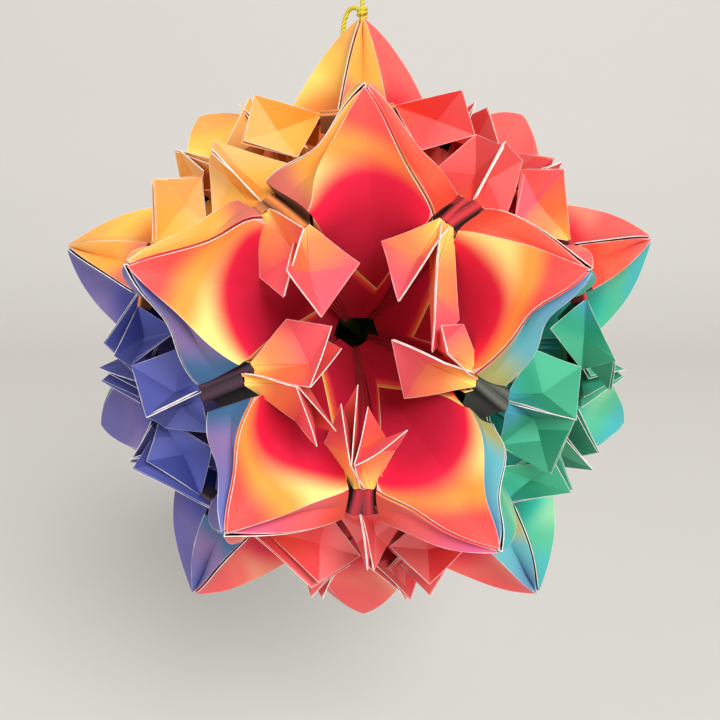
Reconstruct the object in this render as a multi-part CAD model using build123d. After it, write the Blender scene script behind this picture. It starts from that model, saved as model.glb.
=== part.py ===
import math
import os

from build123d import *

# A hanging ball of thirty folded paper sheets, one along each edge of a dodecahedron.
# Twelve flowers of five petals face outwards, and three lips meet in each of twenty spikes.
# Origin at the ball's centre, +Z up through the spike that hangs, front flower towards -Y.

# Ball and sheet, in millimetres
spike_radius = 64.0
paper = 0.2
layer_gap = 0.3
tip_gap = 1.5
edge_gap = 0.6
tab_gap = 4.2

# Waist, where each sheet is pinched into two narrow strips
waist_radius = 48.8
waist_half_length = 3.9
strip_width = 2.1
strip_gap = 0.5
strip_drop = 0.8
pleat_gap = 0.9
pleat_depth = 6.0

# Petals and the trough folded between two petals
lip_rise = 3.8
petal_cup = 3.1
petal_corner_out = 9.4
petal_corner_shift = 2.8
petal_corner_height = 25.0
trough_depth = 2.6
trough_shares = (0.35, 1.0, 0.85, 0.0)

# Funnel that narrows each flower down to a small hole
funnel_radius = 4.4
funnel_height = 17.0
funnel_sweep = 32.0

# Small standing flaps, two at each end of a waist
flap_side = 11.3
flap_side_shares = (0.47, 0.40, -0.71)
flap_tip_shares = (0.04, 1.32, -0.38)
flap_spine_shares = (0.01, 0.92, 0.40)
flap_dent_shares = (0.13, 0.63, -0.20)

# Cord that hangs the ball, with a stop knot inside the top spike, a knot above it and an eye
cord_diameter = 0.9
knot_diameter = 2.4
knot_clearance = 0.15
spike_flare_shares = 2.4
tip_knot_rise = 2.4
eye_knot_rise = 9.4
eye_height = 12.0
eye_width = 6.4
strand_gap = 0.1
eye_side_shares = ((0.0, 0.0), (0.5, 0.3), (0.5, 0.68), (0.22, 1.0))
bend_share = 0.45
tail_points = (
    (-0.7, 0.2, 3.0),
    (-2.0, 0.9, 3.8),
    (-3.5, 1.9, 2.0),
    (-4.0, 2.3, -1.2),
    (-4.6, 2.65, -4.2),
    (-5.9, 3.4, -6.6),
)

mitre_share = 0.4

golden = (1 + math.sqrt(5)) / 2
steps = 3
half_edge = spike_radius / (golden * math.sqrt(3))
edge_radius = spike_radius * golden / math.sqrt(3)
half_turn = math.atan(golden)

# A unit lies in its own frame: X along the edge, Y towards one flower, Z out of the ball
flower_axis = Vector(0, math.cos(half_turn), math.sin(half_turn))
strip_inner = strip_gap / 2
strip_outer = strip_inner + strip_width
trough_end = strip_outer + pleat_gap
strip_radius = waist_radius - strip_drop
layer_shift = (layer_gap + paper) / 2


def opposite(point):
    return Vector(-point.X, -point.Y, point.Z)


def blend(start, end, share):
    return start * (1 - share) + end * share


def step_from(start, end, length):
    return start + (end - start).normalized() * length


def quad(a, b, c, d):
    return [(a, b, c), (a, c, d)]


def flip(facets):
    return [tuple(reversed(facet)) for facet in facets]


def weights(share):
    return (1 - share) ** 2, 2 * share * (1 - share), share**2


def slopes(share):
    return 2 * (share - 1), 2 - 4 * share, 2 * share


def mix(net, rows, columns):
    total = Vector(0, 0, 0)
    for row, points in zip(rows, net):
        for column, point in zip(columns, points):
            total += point * (row * column)
    return total


def petal_frame(end):
    # Outward and sideways directions of the petal whose tip lies at this end of the edge
    tip = Vector(end * half_edge, 0, edge_radius)
    out = (tip - flower_axis * tip.dot(flower_axis)).normalized()
    return tip, out, flower_axis.cross(out)


def petal_grid(end, shift):
    # Cupped petal as a patch of nine control points, moved by shift along its normal.
    # Rows run along the lip of the unit that owns the petal, columns along the other lip.
    tip, out, side = petal_frame(end)
    corner = out * petal_corner_out - side * petal_corner_shift + flower_axis * petal_corner_height
    waist = Vector(end * trough_end, waist_half_length, waist_radius)
    lip = blend(tip, waist, 0.5) + Vector(0, 0, lip_rise)
    far_waist = waist - side * (2 * waist.dot(side))
    far_lip = lip - side * (2 * lip.dot(side))
    if end > 0:
        waist, far_waist = far_waist, waist
        lip, far_lip = far_lip, lip
    edge = blend(waist, corner, 0.5)
    far_edge = blend(far_waist, corner, 0.5)
    bow = side.cross(corner - tip).normalized()
    middle = blend(tip, corner, 0.5) + bow * petal_cup
    rim = tip + corner + waist + far_waist + (lip + far_lip + edge + far_edge) * 2
    heart = (middle * 16 - rim) * 0.25
    net = ((tip, far_lip, far_waist), (lip, heart, far_edge), (waist, edge, corner))
    grid = []
    for i in range(steps + 1):
        line = []
        for j in range(steps + 1):
            along = mix(net, slopes(i / steps), weights(j / steps))
            across = mix(net, weights(i / steps), slopes(j / steps))
            normal = along.cross(across).normalized()
            line.append(mix(net, weights(i / steps), weights(j / steps)) + normal * shift)
        grid.append(line)
    return grid


def petal_facets():
    # Petal that this sheet owns, with its free edge held back from the other lip
    grid = petal_grid(-1, layer_shift)
    notch = step_from(grid[0][0], grid[1][1], tip_gap)
    gaps = [tip_gap] + [edge_gap] * steps
    grid[0] = [step_from(near, inner, gap) for near, inner, gap in zip(grid[0], grid[1], gaps)]
    facets = quad(grid[0][0], grid[1][0], grid[1][1], notch)
    facets += [(notch, grid[1][1], grid[0][1])]
    for i in range(steps):
        for j in range(steps):
            if i + j > 0:
                facets += quad(grid[i][j], grid[i + 1][j], grid[i + 1][j + 1], grid[i][j + 1])
    lip = [row[0] for row in grid]
    inner = grid[steps]
    free = [row[steps] for row in grid]
    tip, out, side = petal_frame(-1)
    reach = out * (funnel_radius * math.cos(math.radians(funnel_sweep)))
    spread = side * (funnel_radius * math.sin(math.radians(funnel_sweep)))
    floor = reach + flower_axis * funnel_height
    facets += [(free[1], free[2], floor - spread)]
    facets += [(free[2], inner[3], floor - spread)]
    facets += [(inner[3], inner[2], floor - spread)]
    facets += [(inner[2], floor + spread, floor - spread)]
    facets += [(inner[2], inner[1], floor + spread)]
    return facets, lip


def tab_facets():
    # Narrow tab that slips behind the neighbour's petal
    grid = petal_grid(1, -layer_shift)
    lip = list(grid[0])
    lip[0] = step_from(grid[0][0], grid[0][1], tip_gap)
    edge = list(grid[1])
    edge[0] = step_from(grid[1][0], grid[1][1], tab_gap)
    notch = step_from(grid[0][0], grid[1][1], tab_gap)
    facets = quad(lip[0], notch, edge[1], lip[1]) + [(notch, edge[0], edge[1])]
    for i in range(1, steps):
        facets += quad(lip[i], edge[i], edge[i + 1], lip[i + 1])
    return facets, lip


def trough_facets(lip, far_lip):
    # Outer trough between two lips, with a valley crease along the edge
    valley = []
    for near, far, share in zip(lip, far_lip, trough_shares):
        middle = blend(near, far, 0.5)
        valley.append(Vector(middle.X, 0, middle.Z - trough_depth * share))
    facets = []
    for i in range(steps):
        facets += quad(lip[i], valley[i], valley[i + 1], lip[i + 1])
        facets += quad(far_lip[i], far_lip[i + 1], valley[i + 1], valley[i])
    return facets, valley


def waist_line(x, z):
    return Vector(x, waist_half_length, z), Vector(x, -waist_half_length, z)


def waist_facets(lip_end, valley_end, far_lip_end):
    # Deep pleat beside the strip, the strip itself and half of the groove between strips
    pleat_radius = strip_radius - pleat_depth
    outer = waist_line(-trough_end, pleat_radius)
    inner = waist_line(-strip_outer, pleat_radius)
    strip_edge = waist_line(-strip_outer, strip_radius)
    groove_edge = waist_line(-strip_inner, strip_radius)
    groove = waist_line(0, strip_radius - strip_gap)
    facets = [(lip_end, valley_end, outer[0])]
    facets += [(valley_end, outer[1], outer[0])]
    facets += [(valley_end, far_lip_end, outer[1])]
    lines = (outer, inner, strip_edge, groove_edge, groove)
    for left, right in zip(lines, lines[1:]):
        facets += quad(left[0], left[1], right[1], right[0])
    return facets


def flap_facets(end):
    # Square flap bent along its diagonal and dented from the strip towards that crease
    outer = Vector(end * strip_outer, waist_half_length, strip_radius)
    inner = Vector(end * strip_inner, waist_half_length, strip_radius)

    def corner(start, shares):
        return start + Vector(end * shares[0], shares[1], shares[2]) * flap_side

    side = corner(outer, flap_side_shares)
    tip = corner(outer, flap_tip_shares)
    dent = corner(outer, flap_dent_shares)
    spine = corner(inner, flap_spine_shares)
    facets = [(outer, inner, dent), (inner, spine, dent), (outer, dent, side)]
    facets += [(side, dent, tip), (dent, spine, tip)]
    return facets if end < 0 else flip(facets)


def unit_facets():
    petal, lip = petal_facets()
    tab, tab_lip = tab_facets()
    far_lip = [opposite(point) for point in tab_lip]
    trough, valley = trough_facets(lip, far_lip)
    waist = waist_facets(lip[steps], valley[steps], far_lip[steps])
    half = petal + tab + trough + waist + flap_facets(-1) + flap_facets(1)
    return half + [tuple(opposite(point) for point in facet) for facet in half]


def folded_sheet(facets):
    # Closed solid of paper thickness about a folded middle surface
    points = []
    places = {}
    corners = []
    for facet in facets:
        numbers = []
        for point in facet:
            key = (round(point.X, 5), round(point.Y, 5), round(point.Z, 5))
            if key not in places:
                places[key] = len(points)
                points.append(point)
            numbers.append(places[key])
        corners.append(numbers)
    leans = [[] for point in points]
    edges = {}
    for numbers in corners:
        a, b, c = (points[number] for number in numbers)
        normal = (b - a).cross(c - a).normalized()
        for k in range(3):
            here, after, before = numbers[k], numbers[(k + 1) % 3], numbers[k - 1]
            angle = (points[after] - points[here]).get_angle(points[before] - points[here])
            leans[here].append((normal, angle))
            edges[(here, after)] = True
    tops = []
    bottoms = []
    for point, lean in zip(points, leans):
        mean = Vector(0, 0, 0)
        for normal, angle in lean:
            mean += normal * angle
        mean = mean.normalized()
        spread = min(mean.dot(normal) for normal, angle in lean)
        offset = mean * (paper / 2 / max(spread, mitre_share))
        tops.append(point + offset)
        bottoms.append(point - offset)
    triangles = []
    for a, b, c in corners:
        triangles.append((tops[a], tops[b], tops[c]))
        triangles.append((bottoms[c], bottoms[b], bottoms[a]))
    for a, b in edges:
        if (b, a) not in edges:
            triangles += quad(tops[b], tops[a], bottoms[a], bottoms[b])
    skin = Shell([Face(Wire.make_polygon(triangle, close=True)) for triangle in triangles])
    if skin.volume < 0:
        skin = Shell([-face for face in skin.faces()])
    return Solid(skin)


def cord_tube(points):
    # Round tube on straight runs joined by the largest arcs that they allow
    runs = [end - start for start, end in zip(points, points[1:])]
    radii = []
    for before, after in zip(runs, runs[1:]):
        turn = math.radians(before.get_angle(after))
        radii.append(bend_share * min(before.length, after.length) / math.tan(turn / 2))
    path = FilletPolyline(*points, radius=radii) if radii else Line(*points)
    section = Plane(origin=path @ 0, z_dir=path % 0) * Circle(cord_diameter / 2)
    print("cord length", round(path.length, 2), "bend radii", [round(radius, 2) for radius in radii])
    return sweep(section, path=path)


def knot_at(height):
    return Pos(0, 0, height) * Sphere(knot_diameter / 2)


# Twelve flower axes, turned so that one spike points up and one flower faces forwards
up = Vector(1, 1, 1).normalized()
front = Vector(0, -1, golden)
forward = (front - up * front.dot(up)).normalized()
right = up.cross(forward)
flowers = []
for long in (golden, -golden):
    for short in (1, -1):
        for axis in (Vector(0, short, long), Vector(short, long, 0), Vector(long, 0, short)):
            flowers.append(Vector(axis.dot(right), -axis.dot(forward), axis.dot(up)).normalized())

unit = folded_sheet(unit_facets())
print("unit valid", unit.is_valid, "volume", round(unit.volume, 2), "faces", len(unit.faces()))
nodes = {}
for i, first in enumerate(flowers):
    for second in flowers[i + 1 :]:
        if 1 < first.get_angle(second) < 90:
            across = (second - first).normalized()
            outward = (first + second).normalized()
            seat = Plane(origin=(0, 0, 0), x_dir=across.cross(outward), z_dir=outward)
            nodes[f"unit_{len(nodes) + 1:02d}"] = unit.moved(seat.location)

# Cord along the spike's axis, its loose tail bent over into the trough behind the left petal
stop_drop = tip_gap + (knot_diameter / 2 + knot_clearance) * spike_flare_shares
stop_height = spike_radius - stop_drop
tip_knot_height = spike_radius + tip_knot_rise
eye_knot_height = spike_radius + eye_knot_rise
stop_knot = knot_at(stop_height)
tip_knot = knot_at(tip_knot_height)
eye_knot = knot_at(eye_knot_height)
stem = cord_tube([Vector(0, 0, stop_height), Vector(0, 0, tip_knot_height)])
line = cord_tube([Vector(0, 0, tip_knot_height), Vector(0, 0, eye_knot_height)])
tail = cord_tube([Vector(*point) + Vector(0, 0, spike_radius) for point in tail_points])
strand = (cord_diameter + strand_gap) / 2
spread = eye_width - strand * 2
side = []
for across_share, up_share in eye_side_shares:
    side.append(Vector(strand + spread * across_share, 0, eye_knot_height + eye_height * up_share))
eye = cord_tube(side + [Vector(-point.X, point.Y, point.Z) for point in reversed(side)])
nodes["cord_stem"] = stem - stop_knot - tip_knot
nodes["cord_line"] = line - tip_knot - eye_knot
nodes["cord_tail"] = tail - tip_knot
nodes["cord_eye"] = eye - eye_knot
nodes["stop_knot"] = stop_knot
nodes["tip_knot"] = tip_knot
nodes["eye_knot"] = eye_knot

os.makedirs("parts", exist_ok=True)
for name, solid in nodes.items():
    export_step(solid, f"parts/{name}.step")
print("nodes", len(nodes))
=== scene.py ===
import math
import random

import bmesh
import bpy
from mathutils import Matrix, Vector, noise


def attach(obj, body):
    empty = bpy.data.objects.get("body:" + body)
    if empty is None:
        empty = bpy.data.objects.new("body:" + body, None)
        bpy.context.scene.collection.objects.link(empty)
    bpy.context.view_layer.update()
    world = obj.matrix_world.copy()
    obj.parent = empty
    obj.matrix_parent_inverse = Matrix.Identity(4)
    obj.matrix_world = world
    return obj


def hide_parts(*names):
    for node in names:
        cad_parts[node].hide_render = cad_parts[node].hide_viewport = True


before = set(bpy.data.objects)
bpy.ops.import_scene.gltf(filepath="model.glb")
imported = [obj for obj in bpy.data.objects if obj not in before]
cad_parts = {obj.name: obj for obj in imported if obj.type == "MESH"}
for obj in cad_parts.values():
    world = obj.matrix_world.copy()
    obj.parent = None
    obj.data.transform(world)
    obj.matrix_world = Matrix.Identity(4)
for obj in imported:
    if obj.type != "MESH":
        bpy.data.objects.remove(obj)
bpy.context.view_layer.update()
mm = 0.001
golden = (1 + math.sqrt(5)) / 2

# Ball and sheet in millimetres, as in the part's source
ball = {
    "spikeRadius": 64.0,
    "paper": 0.14,
    "layerShift": 0.25,  # owner's petal and neighbour's tab lie this far each side of the petal's middle
    "tipGap": 0.5,
    "tipFade": 4,  # the gap narrows over a quarter of the lip
    "edgeGap": 0.3,
    "smoothAngle": 14,
    "weld": 0.01,
    "seed": 11,
    "seedStep": 100,
}
halfEdge = ball["spikeRadius"] / (golden * math.sqrt(3))
edgeRadius = ball["spikeRadius"] * golden / math.sqrt(3)
halfTurn = math.atan(golden)
flowerAxis = Vector((0, math.cos(halfTurn), math.sin(halfTurn)))
flowerOut = Vector((0, -math.sin(halfTurn), math.cos(halfTurn)))  # from a flower's middle to a waist

# Flower directions, in the order that numbers the sheets
up = Vector((1, 1, 1)).normalized()
frontFlower = Vector((0, -1, golden))
forward = (frontFlower - up * frontFlower.dot(up)).normalized()
right = up.cross(forward)
flowers = []
for long in (golden, -golden):
    for short in (1, -1):
        for axis in (Vector((0, short, long)), Vector((short, long, 0)), Vector((long, 0, short))):
            flowers.append(Vector((axis.dot(right), -axis.dot(forward), axis.dot(up))).normalized())

frontNumber, backNumber = 3, 6  # flower that faces the camera and the one behind it
frontAxis = flowers[frontNumber]
viewUp = (Vector((0, 0, 1)) - frontAxis * frontAxis.z).normalized()


def inView(aside, rise):  # millimetres to the right and up, as the camera sees them
    return Vector((aside, 0, 0)) + viewUp * rise


sheets = []  # first flower, second flower and the turn from the sheet's frame to the ball's
for i, first in enumerate(flowers):
    for j in range(i + 1, len(flowers)):
        second = flowers[j]
        if first.dot(second) > 0.1:
            across = (second - first).normalized()
            outward = (first + second).normalized()
            along = across.cross(outward)
            sheets.append((i, j, Matrix((along, across, outward)).transposed()))
print("flowers", len(flowers), "sheets", len(sheets))

# Colours of the paper, one set for each flower: petal, flap and trough colours are printed, the deep heart
# partly painted shade.
# Petal: tip, band, glow at the lips, heart, deep heart. Flap: root, middle, tip. Trough: tip, middle, waist.
# Strip: waist strips.
paints = {
    "upperLeft": {
        "petal": ("#f2a850", "#fbc050", "#ffdc6c", "#e07a2e", "#b4501e"),
        "flap": ("#f0a038", "#f5b44a", "#f6be70"),
        "trough": ("#f4b85c", "#f3a640", "#d66a58"),
        "strip": "#c9743a",
    },
    "topBack": {
        "petal": ("#e87a9c", "#f49a80", "#ffd08c", "#c2266a", "#8c1450"),
        "flap": ("#e8709a", "#e45a8c", "#f08cb0"),
        "trough": ("#f09ab0", "#e26a90", "#c84a6e"),
        "strip": "#8c2848",
    },
    "upperRight": {
        "petal": ("#f0625a", "#f2605a", "#fa8a70", "#cc2030", "#9c1020"),
        "flap": ("#e8462e", "#ea4644", "#f0605c"),
        "trough": ("#f06a5c", "#ee5a3c", "#dc3c20"),
        "strip": "#a8242a",
    },
    "front": {
        "petal": ("#f64e48", "#ffa846", "#fff694", "#c20e36", "#b00c28"),
        "flap": ("#ffd060", "#fa8c58", "#f0606c"),
        "trough": ("#f49a5c", "#f08040", "#e0502c"),
        "strip": "#a83020",
    },
    "leftBack": {
        "petal": ("#4ab4a0", "#8cc880", "#dce478", "#1a8a80", "#0e5a58"),
        "flap": ("#3cae96", "#2c9a90", "#7cc8b0"),
        "trough": ("#8ccfb0", "#4cb8a4", "#2a9c94"),
        "strip": "#1c4c48",
    },
    "rightBack": {
        "petal": ("#8a74c4", "#a48ccc", "#d8b8e0", "#5a3a98", "#3c2470"),
        "flap": ("#7860b8", "#6a50a8", "#a48cd0"),
        "trough": ("#a890d0", "#8068b8", "#54409c"),
        "strip": "#30204c",
    },
    "back": {
        "petal": ("#d0c848", "#ecd45c", "#fff080", "#8aa834", "#5c7a20"),
        "flap": ("#c4cc50", "#b0c048", "#dcdc80"),
        "trough": ("#e6e08c", "#ccc858", "#a0b440"),
        "strip": "#566020",
    },
    "right": {
        "petal": ("#44b0b0", "#54b890", "#90d0a0", "#1c9480", "#0c6054"),
        "flap": ("#3c96b0", "#2a9c7a", "#50b890"),
        "trough": ("#6a94b8", "#62aeb8", "#a8a464"),
        "strip": "#4a4c44",
    },
    "left": {
        "petal": ("#6660a0", "#7468a4", "#8c7cb4", "#44448c", "#2c2c70"),
        "flap": ("#4e58ae", "#444e9e", "#5c62ac"),
        "trough": ("#6068ac", "#846c9e", "#3a6690"),
        "strip": "#38202e",
    },
    "lowerRightBack": {
        "petal": ("#5a8cd0", "#74b0d4", "#a8e0e0", "#2a5cac", "#183c80"),
        "flap": ("#4c84cc", "#3c70be", "#7cacdc"),
        "trough": ("#88bce0", "#5c9cd0", "#3470b8"),
        "strip": "#1c3460",
    },
    "bottom": {
        "petal": ("#ee5c5c", "#f47064", "#fc9c80", "#c8243c", "#98102c"),
        "flap": ("#ec5a44", "#e64448", "#f07674"),
        "trough": ("#d45a84", "#e85a5c", "#dc4630"),
        "strip": "#a81c2e",
    },
    "lowerLeftBack": {
        "petal": ("#7cc070", "#a8cc70", "#e8e480", "#3c9450", "#206838"),
        "flap": ("#6cb864", "#58a858", "#a0cc88"),
        "trough": ("#a8d090", "#78bc6c", "#4ca058"),
        "strip": "#2c5030",
    },
}
flowerNames = list(paints)


def paint(code):  # sRGB code to the linear colour that a socket takes
    parts = [int(code[k:k + 2], 16) / 255 for k in (1, 3, 5)]
    return tuple(p / 12.92 if p <= 0.04045 else ((p + 0.055) / 1.055) ** 2.4 for p in parts) + (1.0,)


def wire(tree, kind, inputs=None, **settings):
    made = tree.nodes.new(kind)
    for key, value in settings.items():
        setattr(made, key, value)
    for key, value in (inputs or {}).items():
        if isinstance(value, bpy.types.NodeSocket):
            tree.links.new(value, made.inputs[key])
        else:
            made.inputs[key].default_value = value
    return made


def ramp(tree, factor, stops):
    made = wire(tree, "ShaderNodeValToRGB", {0: factor})
    made.color_ramp.interpolation = "EASE"
    bar = made.color_ramp.elements
    while len(bar) < len(stops):
        bar.new(0.5)
    for element, (place, colour) in zip(bar, stops):
        element.position = place
        element.color = colour
    return made.outputs["Color"]


def math2(tree, operation, first, second):
    return wire(tree, "ShaderNodeMath", {0: first, 1: second}, operation=operation).outputs[0]


def mixed(tree, factor, first, second, blend="MIX"):
    inputs = {0: factor, 6: first, 7: second}
    return wire(tree, "ShaderNodeMix", inputs, data_type="RGBA", blend_type=blend).outputs[2]


def mapped(tree, value, fromLow, fromHigh, toLow, toHigh, kind="LINEAR"):
    inputs = {0: value, 1: fromLow, 2: fromHigh, 3: toLow, 4: toHigh}
    return wire(tree, "ShaderNodeMapRange", inputs, interpolation_type=kind).outputs[0]


def speckle(tree, scale, detail, roughness=0.5):
    space = wire(tree, "ShaderNodeTexCoord").outputs["Object"]
    inputs = {"Vector": space, "Scale": scale, "Detail": detail, "Roughness": roughness}
    return wire(tree, "ShaderNodeTexNoise", inputs).outputs[0]


def toned(colour, gain):
    return tuple(min(1, gain * part) for part in colour[:3]) + (1.0,)


paperLook = {
    "roughness": 0.58,
    "roughSwing": (-0.06, 0.08),
    "specular": 0.35,
    "sheen": 0.06,
    "edgeWhite": "#f6ece4",
    "wornReach": 4.0,  # millimetres from a fold over which its wear is measured
    "wornWidth": 0.028,  # share of that reach over which the fold has lost its ink
    "wornFade": (-0.4, 0.8),  # in those widths
    "wornMost": 0.6,
    "scuffScale": 220,
    "scuffRange": (0.35, 0.7),
    "scuffWidths": (0.3, 1.5),
    "grainScale": 1800,
    "grainRange": (0.3, 0.7),
    "grainStrength": 0.35,
    "grainDepth": 0.00006,
    "cloudScale": 60,
    "cloudRange": (0.3, 0.7),
    "cloudTones": (0.94, 1.04),
    "foldDepth": 0.0012,  # crease from a petal's tip to its inner corner
}


def sheetCoordinates(tree):
    place = wire(tree, "ShaderNodeUVMap", uv_map="sheet")
    split = wire(tree, "ShaderNodeSeparateXYZ", {0: place.outputs[0]})
    wear = wire(tree, "ShaderNodeUVMap", uv_map="wear")
    worn = wire(tree, "ShaderNodeSeparateXYZ", {0: wear.outputs[0]})
    return split.outputs[0], split.outputs[1], worn.outputs[0], worn.outputs[1]


def finishPaper(tree, colour, worn, fold=None):  # worn folds, faint clouding and the tooth of the paper
    look = paperLook
    narrow, wide = [share * look["wornWidth"] for share in look["scuffWidths"]]
    inside, outside = [share * look["wornWidth"] for share in look["wornFade"]]
    shade = mapped(tree, speckle(tree, look["cloudScale"], 3.0), *look["cloudRange"], *look["cloudTones"])
    tone = mixed(tree, 1.0, colour, shade, "MULTIPLY")
    reach = mapped(tree, speckle(tree, look["scuffScale"], 3.0), *look["scuffRange"], narrow, wide)
    near = math2(tree, "SUBTRACT", reach, worn)
    bare = mapped(tree, near, inside, outside, 0.0, look["wornMost"])
    final = mixed(tree, bare, tone, paint(look["edgeWhite"]))
    grain = speckle(tree, look["grainScale"], 4.0, 0.6)
    tooth = {"Height": grain, "Strength": look["grainStrength"], "Distance": look["grainDepth"]}
    bump = wire(tree, "ShaderNodeBump", tooth).outputs[0]
    if fold:
        crease = {"Height": fold, "Strength": 1.0, "Distance": look["foldDepth"], "Normal": bump}
        bump = wire(tree, "ShaderNodeBump", crease).outputs[0]
    smoother, rougher = [look["roughness"] + swing for swing in look["roughSwing"]]
    shader = tree.nodes["Principled BSDF"]
    shader.inputs["Specular IOR Level"].default_value = look["specular"]
    shader.inputs["Sheen Weight"].default_value = look["sheen"]
    tree.links.new(final, shader.inputs["Base Color"])
    rough = mapped(tree, grain, *look["grainRange"], smoother, rougher)
    tree.links.new(rough, shader.inputs["Roughness"])
    tree.links.new(bump, shader.inputs["Normal"])


def newMaterial(name):
    material = bpy.data.materials.new(name)
    material.use_nodes = True
    return material, material.node_tree


petalPrint = {
    "driftScale": 40,
    "driftRange": (0.25, 0.75),
    "drift": (-0.06, 0.06),
    "skew": 0.15,  # the glow lies nearer one lip
    "rimPlaces": (0.0, 0.16, 0.3, 0.45, 0.9),
    # places of the bright heart edge, the heart and the deep heart, which is partly painted shade
    "corePlaces": (0.04, 0.3, 0.8),
    "heartPull": 0.76,
    "heartEdge": (0.29, 0.51),
    "heartSwing": 0.04,
    "hotGain": 1.7,
}


def petalPaper(name):  # dark heart, deepest towards the inner corner where it is partly painted shade, bright band, warm tip and lips
    tip, band, glow, heart, deep = [paint(code) for code in paints[name]["petal"]]
    material, tree = newMaterial(name + "Petal")
    a, b, worn, shift = sheetCoordinates(tree)
    clouds = speckle(tree, petalPrint["driftScale"], 1.0)
    drift = mapped(tree, clouds, *petalPrint["driftRange"], *petalPrint["drift"])
    reach = math2(tree, "ADD", math2(tree, "MULTIPLY", math2(tree, "ADD", a, b), 0.5), drift)
    across = math2(tree, "SUBTRACT", a, b)
    skewed = math2(tree, "ADD", reach, math2(tree, "MULTIPLY", across, petalPrint["skew"]))
    rim = ramp(tree, skewed, list(zip(petalPrint["rimPlaces"], (tip, tip, band, glow, glow))))
    corner = math2(tree, "MULTIPLY", a, b)
    inks = (toned(heart, petalPrint["hotGain"]), heart, deep)
    core = ramp(tree, corner, list(zip(petalPrint["corePlaces"], inks)))
    inner = math2(tree, "ADD", corner, math2(tree, "MULTIPLY", reach, petalPrint["heartPull"]))
    inner = math2(tree, "ADD", inner, shift)
    share = mapped(tree, inner, *petalPrint["heartEdge"], 0.0, 1.0, "SMOOTHSTEP")
    fold = math2(tree, "ABSOLUTE", across, 0.0)
    finishPaper(tree, mixed(tree, share, rim, core), worn, fold)
    return material


funnelPrint = {"places": (0.0, 0.06, 0.14, 0.3, 0.8)}
# Flap print places, and the power that turns the middle colour into the flaps' painted shade
flapPrintAndShade = {"places": (0.02, 0.42, 0.85), "paintedShadePower": 1.8}
troughPrint = {"places": (0.15, 0.75, 1.0), "slant": 0.12}
# Painted shading of the waist strips: where shade, highlight and own colour lie across a strip, and how far
# the colour is darkened and lightened
stripPaintedShading = {"places": (0.0, 0.35, 0.7, 1.0), "paintedShadeGain": 0.3, "paintedHighlightGain": 1.6}
cutLook = {
    "scale": 900,
    "detail": 2.0,
    "places": (0.3, 0.6),
    "inks": ("#e6d6cc", "#fbf6f0"),
    "roughness": 0.75,
}


def funnelPaper(name):  # bright at the fold, then the heart's colour, deepening to the deep heart towards the hole, partly painted shade
    tip, band, glow, heart, deep = [paint(code) for code in paints[name]["petal"]]
    material, tree = newMaterial(name + "Funnel")
    down, worn = sheetCoordinates(tree)[1:3]
    stops = list(zip(funnelPrint["places"], (glow, band, tip, heart, deep)))
    finishPaper(tree, ramp(tree, down, stops), worn)
    return material


def flapPaper(name):  # root at the strip, paler tip, with painted shade on some facets
    root, middle, tip = [paint(code) for code in paints[name]["flap"]]
    dark = tuple(part ** flapPrintAndShade["paintedShadePower"] for part in middle[:3]) + (1.0,)  # painted shade: a deeper, more saturated colour, not greyer
    material, tree = newMaterial(name + "Flap")
    along, shade, worn = sheetCoordinates(tree)[:3]
    face = ramp(tree, along, list(zip(flapPrintAndShade["places"], (root, middle, tip))))
    finishPaper(tree, mixed(tree, shade, face, dark), worn)
    return material


def troughPaper(name):
    tip, middle, low = [paint(code) for code in paints[name]["trough"]]
    material, tree = newMaterial(name + "Trough")
    along, across, worn = sheetCoordinates(tree)[:3]
    slanted = math2(tree, "ADD", along, math2(tree, "MULTIPLY", across, troughPrint["slant"]))
    finishPaper(tree, ramp(tree, slanted, list(zip(troughPrint["places"], (tip, middle, low)))), worn)
    return material


def stripPaper(name):  # raised strips with a painted highlight along their middle and painted shade at their edges; the slots beside them take a painted shadow
    material, tree = newMaterial(name + "Strip")
    across, _, worn, raised = sheetCoordinates(tree)
    stripColour = paint(paints[name]["strip"])
    dark, pale = toned(stripColour, stripPaintedShading["paintedShadeGain"]), toned(stripColour, stripPaintedShading["paintedHighlightGain"])
    face = ramp(tree, across, list(zip(stripPaintedShading["places"], (dark, pale, stripColour, dark))))
    # faces that are not raised strips take the painted shadow colour
    finishPaper(tree, mixed(tree, raised, dark, face), worn)
    return material


def cutPaper():  # white core that shows at every cut edge
    material, tree = newMaterial("cutEdge")
    shader = tree.nodes["Principled BSDF"]
    fuzz = speckle(tree, cutLook["scale"], cutLook["detail"])
    core = ramp(tree, fuzz, list(zip(cutLook["places"], [paint(code) for code in cutLook["inks"]])))
    tree.links.new(core, shader.inputs["Base Color"])
    shader.inputs["Roughness"].default_value = cutLook["roughness"]
    return material


petalMaterials = [petalPaper(name) for name in flowerNames]
funnelMaterials = [funnelPaper(name) for name in flowerNames]
flapMaterials = [flapPaper(name) for name in flowerNames]
troughMaterials = [troughPaper(name) for name in flowerNames]
stripMaterials = [stripPaper(name) for name in flowerNames]
edgeMaterial = cutPaper()
print("paper materials", len(bpy.data.materials))

# Petals, tabs and the pinched waist of a sheet
petal = {
    "lipRise": 3.8,
    "cup": 3.1,
    "cornerOut": 9.4,
    "cornerShift": 2.8,
    "cornerHeight": 25.0,
    "crease": 0.5,
    "cuts": 18,
    "tabCuts": 6,
    "tabReach": 0.33,
    "tabGap": 4.2,
}
waist = {
    "radius": 48.8,
    "halfLength": 3.9,
    "stripWidth": 2.1,
    "stripGap": 0.5,
    "stripDrop": 0.8,
    "stripCrown": 0.25,
    "pleatGap": 0.9,
    "pleatDepth": 2.0,
    "grooveDrop": 1.2,
    "cuts": 8,
    "wallCuts": 4,
    "grooveCuts": 2,
}
stripInner = waist["stripGap"] / 2
stripOuter = stripInner + waist["stripWidth"]
troughEnd = stripOuter + waist["pleatGap"]
stripRadius = waist["radius"] - waist["stripDrop"]
pleatRadius = stripRadius - waist["pleatDepth"]


def opposite(point):
    return Vector((-point.x, -point.y, point.z))


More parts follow.
